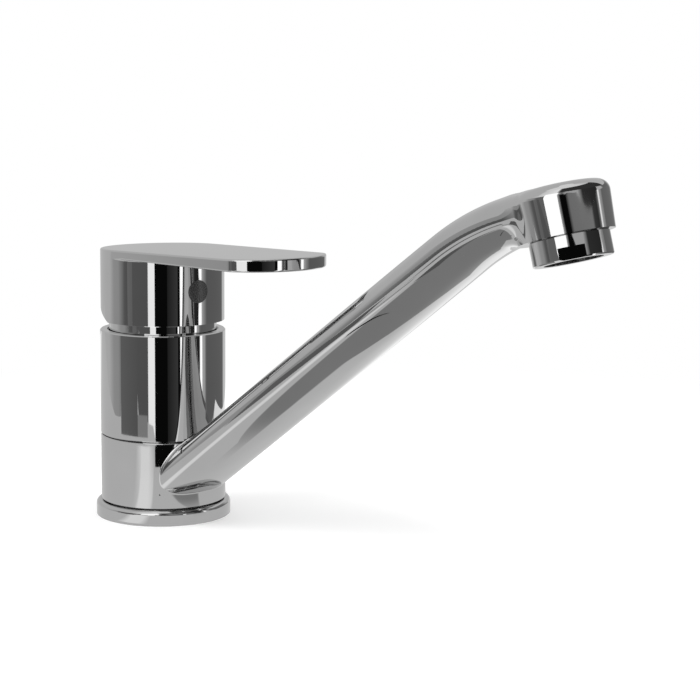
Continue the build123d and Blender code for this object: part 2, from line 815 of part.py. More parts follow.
# Aerator housing: a threaded spigot and a chromed collar with two wrench flats
spigot_outer = aerator_thread_radius
aerator_bottom = -aerator_collar_height
flat_direction = head_out.rotate(head_axis, aerator_flat_azimuth)
with BuildPart() as aerator_housing:
    with BuildSketch(head_plan(aerator_bottom)):
        Circle(aerator_collar_radius)
    extrude(amount=aerator_collar_height)
    chamfer(aerator_housing.edges().filter_by(GeomType.CIRCLE), aerator_edge_chamfer)
    with BuildSketch(head_plan(aerator_bottom)):
        Circle(spigot_outer)
    extrude(amount=aerator_collar_height + aerator_thread_height)
    with BuildSketch(head_plan(aerator_bottom)):
        Circle(aerator_lip_radius)
    extrude(amount=aerator_lip_height, mode=Mode.SUBTRACT)
    with BuildSketch(head_plan(aerator_bottom + aerator_lip_height)):
        Circle(aerator_bore_radius)
    extrude(amount=aerator_collar_height + aerator_thread_height, mode=Mode.SUBTRACT)
    flat_plane = Plane(origin=rim_centre + head_up * aerator_bottom, x_dir=flat_direction, z_dir=head_up)
    with BuildSketch(flat_plane):
        for side in (1, -1):
            with Locations((side * (aerator_flats / 2 + aerator_collar_radius / 2), 0)):
                Rectangle(aerator_collar_radius, 2 * aerator_collar_radius)
    extrude(amount=aerator_flat_height, mode=Mode.SUBTRACT)
aerator_housing.part.label = "aerator_housing"
export_step(aerator_housing.part, "parts/aerator_housing.step")


def hexagonal_places(pitch, limit):
    """Centres of a triangular grid that lie inside a circle."""
    places = []
    rows = int(limit / (pitch * cos(pi / 6))) + 1
    columns = int(limit / pitch) + 1
    for row in range(-rows, rows + 1):
        for column in range(-columns, columns + 1):
            x = (column + (row % 2) / 2) * pitch
            y = row * pitch * cos(pi / 6)
            if (x * x + y * y) ** 0.5 < limit:
                places.append((x, y))
    return places


# Aerator insert: a plastic cup whose floor is the honeycomb that the water leaves by
insert_radius = aerator_bore_radius - seat_clearance
insert_bottom = aerator_bottom + aerator_lip_height
insert_height = aerator_thread_height - screen_height - insert_bottom
with BuildPart() as aerator_insert:
    with BuildSketch(head_plan(insert_bottom)):
        Circle(insert_radius)
    extrude(amount=insert_height)
    with BuildSketch(head_plan(insert_bottom + grille_thickness)):
        Circle(insert_radius - insert_wall)
    extrude(amount=insert_height - grille_thickness, mode=Mode.SUBTRACT)
    with BuildSketch(head_plan(insert_bottom)):
        with Locations(*hexagonal_places(grille_pitch, aerator_lip_radius - grille_pitch / 2)):
            RegularPolygon((grille_pitch - grille_web) / 2, 6, major_radius=False, rotation=30)
    extrude(amount=grille_thickness, mode=Mode.SUBTRACT)
aerator_insert.part.label = "aerator_insert"
export_step(aerator_insert.part, "parts/aerator_insert.step")


# Strainer on top of the insert
with BuildPart() as aerator_screen:
    with BuildSketch(head_plan(aerator_thread_height - screen_height)):
        Circle(insert_radius)
        with Locations(*hexagonal_places(screen_pitch, insert_radius - insert_wall - screen_hole_radius)):
            Circle(screen_hole_radius, mode=Mode.SUBTRACT)
    extrude(amount=screen_height)
aerator_screen.part.label = "aerator_screen"
export_step(aerator_screen.part, "parts/aerator_screen.step")


# Rubber washer between the aerator and the floor of its seat
with BuildPart() as aerator_gasket:
    with BuildSketch(head_plan(aerator_thread_height)):
        Circle(aerator_thread_radius)
        Circle(head_chamber_radius, mode=Mode.SUBTRACT)
    extrude(amount=aerator_gasket_height)
aerator_gasket.part.label = "aerator_gasket"
export_step(aerator_gasket.part, "parts/aerator_gasket.step")
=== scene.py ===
from math import atan2, cos, hypot, pi, radians, sin, tan

import bmesh
import bpy
import numpy as np
from mathutils import Matrix, Vector


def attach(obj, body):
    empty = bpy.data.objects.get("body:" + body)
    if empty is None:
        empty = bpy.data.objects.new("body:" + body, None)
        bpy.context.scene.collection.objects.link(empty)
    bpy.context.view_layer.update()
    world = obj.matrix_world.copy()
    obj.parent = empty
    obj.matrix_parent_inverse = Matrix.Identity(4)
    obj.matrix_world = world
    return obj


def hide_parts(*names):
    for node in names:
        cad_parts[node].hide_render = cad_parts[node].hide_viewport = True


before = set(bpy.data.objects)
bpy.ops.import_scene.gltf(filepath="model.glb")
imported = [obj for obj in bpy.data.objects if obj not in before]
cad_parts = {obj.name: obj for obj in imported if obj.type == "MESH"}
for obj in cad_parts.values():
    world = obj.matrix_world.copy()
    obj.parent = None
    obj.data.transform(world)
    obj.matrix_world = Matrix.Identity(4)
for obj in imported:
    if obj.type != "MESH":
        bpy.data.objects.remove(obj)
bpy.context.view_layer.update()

# Mixer tap: finishes of the chromed castings and of the small parts, and the studio round them

# Metres and degrees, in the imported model's frame: Z up, the spout points along X

# Camera, as fitted to the outline of the tap in the photograph
CAMERA_PLACE = Vector((0.5469, -0.4834, 0.1759))
CAMERA_YAW = 5.91
CAMERA_PITCH = -8.54
CAMERA_ROLL = 0.56
CAMERA_LENS = 93.95
CAMERA_CLIP = 0.01
SENSOR_WIDTH = 36.0

# Metres in a millimetre
MM = 0.001

# Directions of the studio: from the tap towards the camera, and to the camera's right
CAMERA_BEARING = atan2(CAMERA_PLACE.y, CAMERA_PLACE.x)
TOWARD = Vector((cos(CAMERA_BEARING), sin(CAMERA_BEARING), 0))
RIGHT = Vector((-sin(CAMERA_BEARING), cos(CAMERA_BEARING), 0))


def studio_point(toward, right, height):
    """A point of the studio, from its distances towards the camera, to the right and up."""
    return TOWARD * toward + RIGHT * right + Vector((0, 0, height))


def ring_point(bearing, radius, height):
    """A point of the studio, from its distance from the tap's axis and its bearing from the camera's."""
    turn = radians(bearing)
    return studio_point(radius * cos(turn), radius * sin(turn), height)


def new_object(name, vertices, faces):
    """Mesh object from plain lists, linked to the scene."""
    mesh = bpy.data.meshes.new(name)
    mesh.from_pydata([tuple(v) for v in vertices], [], faces)
    mesh.update()
    made = bpy.data.objects.new(name, mesh)
    bpy.context.scene.collection.objects.link(made)
    return made


# Shader nodes

# Values between which most of a noise texture lies
NOISE_SPAN = (0.3, 0.7)


def new_material(name):
    """Node material, its node tree and the Principled shader in it."""
    material = bpy.data.materials.new(name)
    material.use_nodes = True
    return material, material.node_tree, material.node_tree.nodes["Principled BSDF"]


def light_material(name, make_strength):
    """Material that only emits. The strength comes from the nodes that a function adds."""
    material = bpy.data.materials.new(name)
    material.use_nodes = True
    tree = material.node_tree
    tree.nodes.clear()
    light = tree.nodes.new("ShaderNodeEmission")
    out = tree.nodes.new("ShaderNodeOutputMaterial")
    tree.links.new(make_strength(tree), light.inputs["Strength"])
    tree.links.new(light.outputs["Emission"], out.inputs["Surface"])
    return material


def object_place(tree):
    """Place on the object, in its own metres."""
    return tree.nodes.new("ShaderNodeTexCoord").outputs["Object"]


def mapped(tree, value, source, target, kind="LINEAR"):
    """Value mapped from one range to another, and held at its ends."""
    spread = tree.nodes.new("ShaderNodeMapRange")
    spread.interpolation_type = kind
    spread.inputs["From Min"].default_value = source[0]
    spread.inputs["From Max"].default_value = source[1]
    spread.inputs["To Min"].default_value = target[0]
    spread.inputs["To Max"].default_value = target[1]
    tree.links.new(value, spread.inputs["Value"])
    return spread.outputs["Result"]


def eased(tree, value, source, target):
    """Value mapped from one range to another, with soft ends."""
    return mapped(tree, value, source, target, "SMOOTHSTEP")


def calculated(tree, operation, first, second):
    """Result of a math node, whose inputs are sockets or numbers."""
    node = tree.nodes.new("ShaderNodeMath")
    node.operation = operation
    for socket, value in zip(node.inputs, (first, second)):
        if isinstance(value, (int, float)):
            socket.default_value = value
        else:
            tree.links.new(value, socket)
    return node.outputs["Value"]


def mixed(tree, share, first, second):
    """Value between a number and a socket."""
    mix = tree.nodes.new("ShaderNodeMix")
    mix.inputs["A"].default_value = first
    tree.links.new(share, mix.inputs["Factor"])
    tree.links.new(second, mix.inputs["B"])
    return mix.outputs["Result"]


def added_noise(tree, scale, detail, low, high):
    """Noise in object space, mapped to a range of values."""
    noise = tree.nodes.new("ShaderNodeTexNoise")
    noise.inputs["Scale"].default_value = scale
    noise.inputs["Detail"].default_value = detail
    tree.links.new(object_place(tree), noise.inputs["Vector"])
    return mapped(tree, noise.outputs["Fac"], NOISE_SPAN, (low, high))


def add_bump(tree, shader, height, strength, distance):
    """Bump from a height value."""
    bump = tree.nodes.new("ShaderNodeBump")
    bump.inputs["Strength"].default_value = strength
    bump.inputs["Distance"].default_value = distance
    tree.links.new(height, bump.inputs["Height"])
    tree.links.new(bump.outputs["Normal"], shader.inputs["Normal"])


def grey_from(tree, value):
    """Neutral colour from a value."""
    colour = tree.nodes.new("ShaderNodeCombineColor")
    for channel in ("Red", "Green", "Blue"):
        tree.links.new(value, colour.inputs[channel])
    return colour.outputs["Color"]


# Materials of the tap

CHROME_TONE = (0.56, 0.60)
CHROME_TONE_SCALE = 35.0
CHROME_TONE_DETAIL = 3.0
SMUDGE_SCALE = 60.0
SMUDGE_DETAIL = 5.0
WAVE_SCALE = 45.0
WAVE_DETAIL = 1.0
WAVE_DEPTH = 0.0005
GRAIN_SCALE = 400.0
GRAIN_DETAIL = 3.0
GRAIN_STRENGTH = 0.08
GRAIN_DEPTH = 0.0001
PLAIN_TONE_SCALE = 100.0
PLAIN_TONE_DETAIL = 3.0
PLAIN_TONE_SPREAD = (0.92, 1.06)
PLAIN_SHINE_DETAIL = 4.0
PLAIN_SHINE_SPREAD = (0.85, 1.15)


def chrome(name, shine, wave=0.0):
    """Polished chrome with faint smudges, and a slight wave where the piece is cast."""
    material, tree, shader = new_material(name)
    shader.inputs["Metallic"].default_value = 1.0
    tone = added_noise(tree, CHROME_TONE_SCALE, CHROME_TONE_DETAIL, *CHROME_TONE)
    tree.links.new(grey_from(tree, tone), shader.inputs["Base Color"])
    smudges = added_noise(tree, SMUDGE_SCALE, SMUDGE_DETAIL, *shine)
    tree.links.new(smudges, shader.inputs["Roughness"])
    if wave:
        add_bump(tree, shader, added_noise(tree, WAVE_SCALE, WAVE_DETAIL, 0.0, 1.0), wave, WAVE_DEPTH)
    return material


def plain(name, grey, roughness, metallic=0.0):
    """Moulded or turned surface with a fine grain."""
    material, tree, shader = new_material(name)
    shader.inputs["Metallic"].default_value = metallic
    tones = [grey * share for share in PLAIN_TONE_SPREAD]
    tone = added_noise(tree, PLAIN_TONE_SCALE, PLAIN_TONE_DETAIL, *tones)
    tree.links.new(grey_from(tree, tone), shader.inputs["Base Color"])
    shines = [roughness * share for share in PLAIN_SHINE_SPREAD]
    shine = added_noise(tree, GRAIN_SCALE, PLAIN_SHINE_DETAIL, *shines)
    tree.links.new(shine, shader.inputs["Roughness"])
    grain = added_noise(tree, GRAIN_SCALE, GRAIN_DETAIL, 0.0, 1.0)
    add_bump(tree, shader, grain, GRAIN_STRENGTH, GRAIN_DEPTH)
    return material


FINISHES = {
    "turned_chrome": chrome("turned_chrome", shine=(0.015, 0.04)),
    "cast_chrome": chrome("cast_chrome", shine=(0.02, 0.06), wave=0.06),
    "brass": plain("brass", grey=0.55, roughness=0.3, metallic=1.0),
    "steel": plain("steel", grey=0.6, roughness=0.3, metallic=1.0),
    "rubber": plain("rubber", grey=0.03, roughness=0.7),
    "white_plastic": plain("white_plastic", grey=0.75, roughness=0.4),
    "grey_plastic": plain("grey_plastic", grey=0.3, roughness=0.45),
    "ceramic": plain("ceramic", grey=0.85, roughness=0.15),
    "index_plastic": plain("index_plastic", grey=0.07, roughness=0.25),
    "aerator_plastic": plain("aerator_plastic", grey=0.02, roughness=0.4),
}

NODE_FINISHES = {
    "turned_chrome": ["body_casting", "base_ring", "neck_ring", "lever_handle", "aerator_housing"],
    "cast_chrome": ["spout_casting"],
    "brass": ["cartridge_nut"],
    "steel": ["retaining_clip", "lever_pin", "lever_stem", "grub_screw"],
    "rubber": ["base_gasket", "spout_seals", "port_seals", "aerator_gasket"],
    "white_plastic": ["lower_slide_ring", "upper_slide_ring", "cartridge_housing", "cartridge_base"],
    "grey_plastic": ["cartridge_turret", "disc_carrier"],
    "ceramic": ["upper_ceramic_disc", "lower_ceramic_disc"],
    "index_plastic": ["index_plug"],
    "aerator_plastic": ["aerator_insert", "aerator_screen"],
}


def dress_nodes():
    """Gives every CAD node its finish."""
    for finish, names in NODE_FINISHES.items():
        for name in names:
            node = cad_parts[name]
            node.data.materials.clear()
            node.data.materials.append(FINISHES[finish])


# Spout casting

# Sizes of its form in the solid model, in millimetres
COLLAR_RADIUS = 25.0
COLLAR_BOTTOM = 6.3
COLLAR_TOP = 32.8
COLLAR_CHAMFER = 0.4
COLLAR_BORE = 20.0
ROOM_RADIUS = 25.3
RING_SEAT_RADIUS = 22.72
LOWER_SEAT_TOP = 8.1
UPPER_SEAT_BOTTOM = 31.0
HEAD_LEAN = radians(15.5)
HEAD_OUT = np.array((cos(HEAD_LEAN), 0, sin(HEAD_LEAN)))
HEAD_UP = np.array((-sin(HEAD_LEAN), 0, cos(HEAD_LEAN)))
RIM_CENTRE = np.array((198.2, 0, 125.0))
RIM_RADIUS = 15.4
HEAD_TOP_RADIUS = 16.2
DOME_HEIGHT = 17.3
DOME_DROP = 1.3
DOME_EDGE_RADIUS = 4.0
THREAD_BORE = 12.05
THREAD_DEPTH = 7.5
CHAMBER_RADIUS = 10.2
CHAMBER_DEPTH = 13.0
ARM_START = np.array((0, 0, 5.6))
ARM_END_HEIGHT = 9.6
ARM_END = RIM_CENTRE + HEAD_UP * ARM_END_HEIGHT
ARM_BEND_DISTANCE = 30.0
ARM_BEND_RADIUS = 94.0
ARM_ROOT_PLACE = 0.03
ARM_HALF_WIDTHS = (17.6, 14.4)
ARM_HALF_HEIGHTS = (9.1, 7.6)
ARM_OVAL = 2.3
ARM_FLATTENING = 8
ROOT_FILLET = 1.2

# Soft blend of the arm into the head, which the solid model leaves out
HEAD_BLEND = 9.0
BLEND_END = 3.0
BLEND_RISE = 6.0
BLEND_LEAST = 0.22

# Lengths by which the collar and the head run on before they are cut
COLLAR_SPARE_BELOW = 4
COLLAR_SPARE_ABOVE = 8
HEAD_SPARE_BELOW = 5

# Sizes of the forms that cut them, where these lie outside the casting
CUT_RADIUS = 30
CUT_BOTTOM = -5
ROOM_TOP = 80
BORE_TOP = 60
MOUTH_RADIUS = 20
MOUTH_BOTTOM = -9
LATHE_SEGMENTS = 192

# Mesh of its skin, and how it is evened out, and divided where the arm meets the collar and the head
SKIN_LOW = (-27, -27, 2)
SKIN_HIGH = (217, 27, 146)
SKIN_CELL = 0.8
SETTLE_ROUNDS = 3
SETTLE_PULLS = 2
ROOT_DIVISIONS = 2
ROOT_REACH = 1.5
HEAD_DIVISIONS = 1
HEAD_REACH = 5.0
REFINE_SPREAD = 3
REFINE_PULLS = 3

# Steps and limits of the sums
SLOPE_STEP = 0.01
MOST_ALIKE = 0.999
FILLET_DEPTH = 3
LEAST_SUM = 1e-9
LEAST_STEEPNESS = 1e-4
LEAST_SLOPE = 1e-12

# How near to the form a face counts as skin, and how flat to its axis as turned
SKIN_NEARNESS = 0.03
TURNED_SLANT = 0.1

# Corners of a grid cell
CORNERS = [(i, j, k) for i in (0, 1) for j in (0, 1) for k in (0, 1)]


def in_plane(vector):
    """The two coordinates of the plane that the spout is symmetric about."""
    return np.array((vector[0], vector[2]))


def arm_section_place(points):
    """Place along the arm's centre line and height over it: a straight run, a bend, a straight end."""
    flat = points[:, (0, 2)]
    start, end = in_plane(ARM_START), in_plane(ARM_END)
    last_run = in_plane(HEAD_OUT)
    corner = end - last_run * ARM_BEND_DISTANCE
    first_run = (corner - start) / np.linalg.norm(corner - start)
    turn = np.arccos(first_run @ last_run)
    tangent = ARM_BEND_RADIUS * tan(turn / 2)
    first_length = np.linalg.norm(corner - start) - tangent
    bend_length = ARM_BEND_RADIUS * turn
    length = first_length + bend_length + ARM_BEND_DISTANCE - tangent
    bend_start, bend_end = corner - first_run * tangent, corner + last_run * tangent
    up_first = np.array((-first_run[1], first_run[0]))
    up_last = np.array((-last_run[1], last_run[0]))
    middle = bend_start - up_first * ARM_BEND_RADIUS
    before = (flat - bend_start) @ first_run
    after = (flat - bend_end) @ last_run
    spoke = flat - middle
    swept = np.arctan2(up_first[1], up_first[0]) - np.arctan2(spoke[:, 1], spoke[:, 0])
    along = first_length + ARM_BEND_RADIUS * swept
    height = np.linalg.norm(spoke, axis=1) - ARM_BEND_RADIUS
    along = np.where(before < 0, first_length + before, along)
    height = np.where(before < 0, (flat - bend_start) @ up_first, height)
    along = np.where(after > 0, first_length + bend_length + after, along)
    height = np.where(after > 0, (flat - bend_end) @ up_last, height)
    return along / length, height, length


def arm_distance(points):
    """Distance from the arm, a changing oval along its centre line."""
    place, height, length = arm_section_place(points)
    held = np.clip(place, ARM_ROOT_PLACE, 1)
    half_width = ARM_HALF_WIDTHS[0] + (ARM_HALF_WIDTHS[1] - ARM_HALF_WIDTHS[0]) * held**2
    flattened = held**ARM_FLATTENING
    half_height = ARM_HALF_HEIGHTS[0] + (ARM_HALF_HEIGHTS[1] - ARM_HALF_HEIGHTS[0]) * flattened
    across, rise = np.abs(points[:, 1]) / half_width, np.abs(height) / half_height
    total = np.maximum(across**ARM_OVAL + rise**ARM_OVAL, LEAST_SUM)
    ring = total ** (1 / ARM_OVAL)
    slope = ring / total
    slope_across = slope * across ** (ARM_OVAL - 1) / half_width
    slope_up = slope * rise ** (ARM_OVAL - 1) / half_height
    steepness = np.hypot(slope_across, slope_up)
    side = (ring - 1) / np.maximum(steepness, LEAST_STEEPNESS)
    return np.maximum(side, np.maximum(ARM_ROOT_PLACE - place, place - 1) * length)


def collar_distance(points):
    """Distance from the collar, left long at both ends until it is cut."""
    side = np.hypot(points[:, 0], points[:, 1]) - COLLAR_RADIUS
    below = COLLAR_BOTTOM - COLLAR_SPARE_BELOW - points[:, 2]
    above = points[:, 2] - COLLAR_TOP - COLLAR_SPARE_ABOVE
    return np.maximum(side, np.maximum(below, above))


def head_places(points):
    """Radius from the head's axis, and height over its rim."""
    offset = points - RIM_CENTRE
    height = offset @ HEAD_UP
    return np.sqrt(np.maximum((offset**2).sum(1) - height**2, 0)), height


def head_side_distance(points):
    """Distance from the head's widening side."""
    radius, height = head_places(points)
    dome_edge = DOME_HEIGHT - DOME_DROP
    widening = (HEAD_TOP_RADIUS - RIM_RADIUS) / dome_edge
    return (radius - RIM_RADIUS - widening * height) / hypot(1, widening)


def head_dome_distance(points):
    """Distance from the low dome on the head."""
    radius, height = head_places(points)
    dome_radius = (HEAD_TOP_RADIUS**2 + DOME_DROP**2) / (2 * DOME_DROP)
    return np.hypot(radius, height - DOME_HEIGHT + dome_radius) - dome_radius


def normals_of(distance, points):
    """Directions in which a distance grows fastest."""
    columns = []
    for axis in range(3):
        shift = np.zeros(3)
        shift[axis] = SLOPE_STEP
        columns.append(distance(points + shift) - distance(points - shift))
    slopes = np.stack(columns, 1)
    return slopes / np.maximum(np.linalg.norm(slopes, axis=1, keepdims=True), LEAST_SLOPE)


def likeness(first, second, points):
    """How alike the directions of two distances are: 1 where they agree, 0 at a right angle."""
    return (normals_of(first, points) * normals_of(second, points)).sum(1)


def filleted(first, second, radius, points):
    """Union of two forms with a rolling-ball fillet between them."""
    a, b = first(points), second(points)
    result = np.minimum(a, b)
    near = (np.maximum(a, b) < radius) & (result > -FILLET_DEPTH * radius)
    if near.any():
        alike = np.clip(likeness(first, second, points[near]), -MOST_ALIKE, MOST_ALIKE)
        u, v = radius - a[near], radius - b[near]
        ball = radius - np.sqrt((u * u + v * v - 2 * alike * u * v) / (1 - alike * alike))
        between = (u > alike * v) & (v > alike * u)
        result[near] = np.where(between, ball, result[near])
    return result


def blended(first, second, reach, points):
    """Union of two forms with a soft blend, which is shorter where they are nearly flush."""
    a, b = first(points), second(points)
    result = np.minimum(a, b)
    near = (np.abs(a - b) < reach) & (np.abs(result) < reach) & (reach > 0)
    if near.any():
        alike = likeness(first, second, points[near])
        width = reach[near] * np.maximum(np.sqrt(np.clip(1 - alike, 0, 1)), BLEND_LEAST)
        share = np.clip(1 - np.abs(a - b)[near] / width, 0, 1)
        result[near] -= share**2 * width / 4
    return result


def head_distance(points):
    """Distance from the head, its dome's edge rounded, left long below until it is cut."""
    solid = -filleted(
        lambda p: -head_side_distance(p), lambda p: -head_dome_distance(p), DOME_EDGE_RADIUS, points
    )
    return np.maximum(solid, -HEAD_SPARE_BELOW - head_places(points)[1])


def root_distance(points):
    """Distance from the arm and the collar, with the fillet round the arm's root."""
    return filleted(arm_distance, collar_distance, ROOT_FILLET, points)


def spout_distance(points):
    """Distance from the whole smooth casting. The arm's end, inside the head, is not blended."""
    place, height, length = arm_section_place(points)
    before_end = (1 - place) * length
    share = np.clip((before_end - BLEND_END) / BLEND_RISE, 0, 1)
    reach = HEAD_BLEND * share**2 * (3 - 2 * share)
    return blended(root_distance, head_distance, reach, points)


def at_corner(grid, corner):
    """Values of a grid at the same corner of every cell."""
    return grid[tuple(slice(step, step + size - 1) for step, size in zip(corner, grid.shape))]


def cut_cells(inside):
    """Cells that the surface passes through, and their numbers on the grid."""
    filled = sum(at_corner(inside, corner).astype(int) for corner in CORNERS)
    cut = np.argwhere((filled > 0) & (filled < len(CORNERS)))
    index = -np.ones(filled.shape, int)
    index[tuple(cut.T)] = np.arange(len(cut))
    return cut, index


def net_points(values, cut, low, cell):
    """A point in every cut cell, the mean of the places where the surface crosses its edges."""
    total, count = np.zeros((len(cut), 3)), np.zeros((len(cut), 1))
    edges = [(corner, axis) for corner in CORNERS for axis in range(3) if not corner[axis]]
    for corner, axis in edges:
        here = cut + corner
        there = here.copy()
        there[:, axis] += 1
        start, end = values[tuple(here.T)], values[tuple(there.T)]
        crossed = (start < 0) != (end < 0)
        share = np.where(crossed, start / np.where(crossed, start - end, 1), 0)
        spot = here.astype(float)
        spot[:, axis] += share
        total += np.where(crossed[:, None], spot, 0)
        count += crossed[:, None]
    return np.array(low) + cell * total / count


def net_faces(inside, index):
    """A quad across every grid edge that the surface crosses, between the four cells round it."""
    faces = []
    for axis in range(3):
        one, two = (axis + 1) % 3, (axis + 2) % 3
        ahead = [0, 0, 0]
        ahead[axis] = 1
        lower = inside[tuple(slice(0, size - step) for size, step in zip(inside.shape, ahead))]
        upper = inside[tuple(slice(step, None) for step in ahead)]
        for edge_set, flip in ((lower & ~upper, False), (~lower & upper, True)):
            edges = np.argwhere(edge_set)
            ring = []
            for back_one, back_two in ((1, 1), (0, 1), (0, 0), (1, 0)):
                place = edges.copy()
                place[:, one] -= back_one
                place[:, two] -= back_two
                ring.append(index[tuple(place.T)])
            faces.append(np.stack(ring[::-1] if flip else ring, 1))
    return np.concatenate(faces)


def surface_net(distance, low, high, cell):
    """Quad mesh of the surface where the distance is nought."""
    counts = [int((high[i] - low[i]) / cell) + 2 for i in range(3)]
    axes = [low[i] + cell * np.arange(counts[i]) for i in range(3)]
    grid = np.stack(np.meshgrid(*axes, indexing="ij"), -1)
    values = distance(grid.reshape(-1, 3)).reshape(counts)
    inside = values < 0
    cut, index = cut_cells(inside)
    return net_points(values, cut, low, cell), net_faces(inside, index)


def pulled(distance, points, times):
    """Points moved onto the surface where the distance is nought."""
    for pull in range(times):
        points = points - normals_of(distance, points) * distance(points)[:, None]
    return points


def settled(distance, points, faces):
    """Points evened out along the surface and pulled onto it."""
    sides = np.concatenate([faces[:, (0, 1)], faces[:, (1, 2)], faces[:, (2, 3)], faces[:, (3, 0)]])
    for turn in range(SETTLE_ROUNDS):
        total, count = np.zeros_like(points), np.zeros((len(points), 1))
        np.add.at(total, sides[:, 0], points[sides[:, 1]])
        np.add.at(count, sides[:, 0], 1)
        points = (points + total / count) / 2
        points = pulled(distance, points, SETTLE_PULLS)
    return points


def vertex_places(mesh):
    """Places of an open mesh's vertices, in millimetres."""
    return np.array([vertex.co for vertex in mesh.verts]) / MM


def refine(spout, other_distance, reach, divisions):
    """Divides the faces where the arm meets another form, and pulls them onto the surface."""
    mesh = bmesh.new()
    mesh.from_mesh(spout.data)
    for division in range(divisions):
        places = vertex_places(mesh)
        arm, other = arm_distance(places), other_distance(places)
        near = (np.maximum(arm, other) < reach) & (np.abs(arm - other) < REFINE_SPREAD * reach)
        chosen = [edge for edge in mesh.edges if all(near[vertex.index] for vertex in edge.verts)]
        bmesh.ops.subdivide_edges(mesh, edges=chosen, cuts=1, use_grid_fill=True)
        mesh.verts.index_update()
    places = pulled(spout_distance, vertex_places(mesh), REFINE_PULLS)
    for vertex, place in zip(mesh.verts, places):
        vertex.co = place * MM
    mesh.to_mesh(spout.data)
    mesh.free()


def lathe(profile, origin, out, up):
    """Closed turned form from a profile that starts and ends on its axis: radius and height pairs."""
    side = np.cross(up, out)
    points = [origin + up * profile[0][1]]
    faces = []
    inner = profile[1:-1]
    for step in range(LATHE_SEGMENTS):
        turn = 2 * pi * step / LATHE_SEGMENTS
        direction = out * cos(turn) + side * sin(turn)
        points += [origin + direction * radius + up * height for radius, height in inner]
    points.append(origin + up * profile[-1][1])
    size, last = len(inner), len(points) - 1
    for step in range(LATHE_SEGMENTS):
        here, there = 1 + step * size, 1 + (step + 1) % LATHE_SEGMENTS * size
        faces.append((0, there, here))
        faces += [(here + i, there + i, there + i + 1, here + i + 1) for i in range(size - 1)]
        faces.append((here + size - 1, there + size - 1, last))
    return np.array(points) * MM, faces


def spout_cutters():
    """Forms that shape the collar's two ends, its bore and the mouth of the head."""
    centre, out, up = np.zeros(3), np.array((1, 0, 0)), np.array((0, 0, 1))
    chamfer_radius = COLLAR_RADIUS - COLLAR_CHAMFER
    chamfer_bottom = COLLAR_TOP - COLLAR_CHAMFER
    below = [
        (0, CUT_BOTTOM),
        (CUT_RADIUS, CUT_BOTTOM),
        (CUT_RADIUS, COLLAR_BOTTOM + CUT_RADIUS - chamfer_radius),
        (chamfer_radius, COLLAR_BOTTOM),
        (0, COLLAR_BOTTOM),
    ]
    room = [
        (0, COLLAR_TOP),
        (chamfer_radius, COLLAR_TOP),
        (COLLAR_RADIUS, chamfer_bottom),
        (ROOM_RADIUS, chamfer_bottom),
        (ROOM_RADIUS, ROOM_TOP),
        (0, ROOM_TOP),
    ]
    bore = [
        (0, 0),
        (RING_SEAT_RADIUS, 0),
        (RING_SEAT_RADIUS, LOWER_SEAT_TOP),
        (COLLAR_BORE, LOWER_SEAT_TOP),
        (COLLAR_BORE, UPPER_SEAT_BOTTOM),
        (RING_SEAT_RADIUS, UPPER_SEAT_BOTTOM),
        (RING_SEAT_RADIUS, BORE_TOP),
        (0, BORE_TOP),
    ]
    mouth = [
        (0, MOUTH_BOTTOM),
        (MOUTH_RADIUS, MOUTH_BOTTOM),
        (MOUTH_RADIUS, 0),
        (THREAD_BORE, 0),
        (THREAD_BORE, THREAD_DEPTH),
        (CHAMBER_RADIUS, THREAD_DEPTH),
        (CHAMBER_RADIUS, CHAMBER_DEPTH),
        (0, CHAMBER_DEPTH),
    ]
    collar_cutters = [lathe(profile, centre, out, up) for profile in (below, room, bore)]
    return collar_cutters + [lathe(mouth, RIM_CENTRE, HEAD_OUT, HEAD_UP)]


def carve(piece, cutters):
    """Cuts closed forms out of a piece, and keeps the result as its mesh."""
    for number, (points, faces) in enumerate(cutters):
        cutter = new_object(f"cutter_{number}", points, faces)
        cut = piece.modifiers.new(cutter.name, "BOOLEAN")
        cut.operation = "DIFFERENCE"
        cut.solver = "EXACT"
        cut.object = cutter
    bpy.context.view_layer.update()
    evaluated = piece.evaluated_get(bpy.context.evaluated_depsgraph_get())
    result = bpy.data.meshes.new_from_object(evaluated)
    used = [modifier.object for modifier in piece.modifiers]
    piece.modifiers.clear()
    piece.data = result
    for cutter in used:
        bpy.data.objects.remove(cutter)


def turned_normal(place, origin, axis, flat):
    """Normal of a turned face at one of its corners, square to the axis."""
    spoke = place - origin
    spoke = spoke - axis * (spoke @ axis)
    spoke = spoke / np.linalg.norm(spoke)
    return spoke if spoke @ flat > 0 else -spoke


def cut_normals(polygon, places):
    """Normals at the corners of a face that a cutter left: round its axis, or flat."""
    flat = np.array(polygon.normal)
    on_head = polygon.center.x > RIM_CENTRE[0] * MM / 2
    axis = HEAD_UP if on_head else np.array((0, 0, 1))
    origin = RIM_CENTRE if on_head else np.zeros(3)
    if abs(flat @ axis) < TURNED_SLANT:
        return [turned_normal(places[vertex], origin, axis, flat) for vertex in polygon.vertices]
    return [flat for vertex in polygon.vertices]


def shade_spout(piece):
    """Exact normals: of the smooth form on the skin, of the axes in the bores, flat elsewhere."""
    mesh = piece.data
    places = np.empty(len(mesh.vertices) * 3)
    mesh.vertices.foreach_get("co", places)
    places = places.reshape(-1, 3) / MM
    skin_normals = normals_of(spout_distance, places)
    centres = np.empty(len(mesh.polygons) * 3)
    mesh.polygons.foreach_get("center", centres)
    on_skin = np.abs(spout_distance(centres.reshape(-1, 3) / MM)) < SKIN_NEARNESS
    mesh.polygons.foreach_set("use_smooth", np.ones(len(mesh.polygons), bool))
    normals = []
    for polygon in mesh.polygons:
        if on_skin[polygon.index]:
            normals += [skin_normals[vertex] for vertex in polygon.vertices]
        else:
            normals += cut_normals(polygon, places)
    mesh.normals_split_custom_set([tuple(normal) for normal in normals])


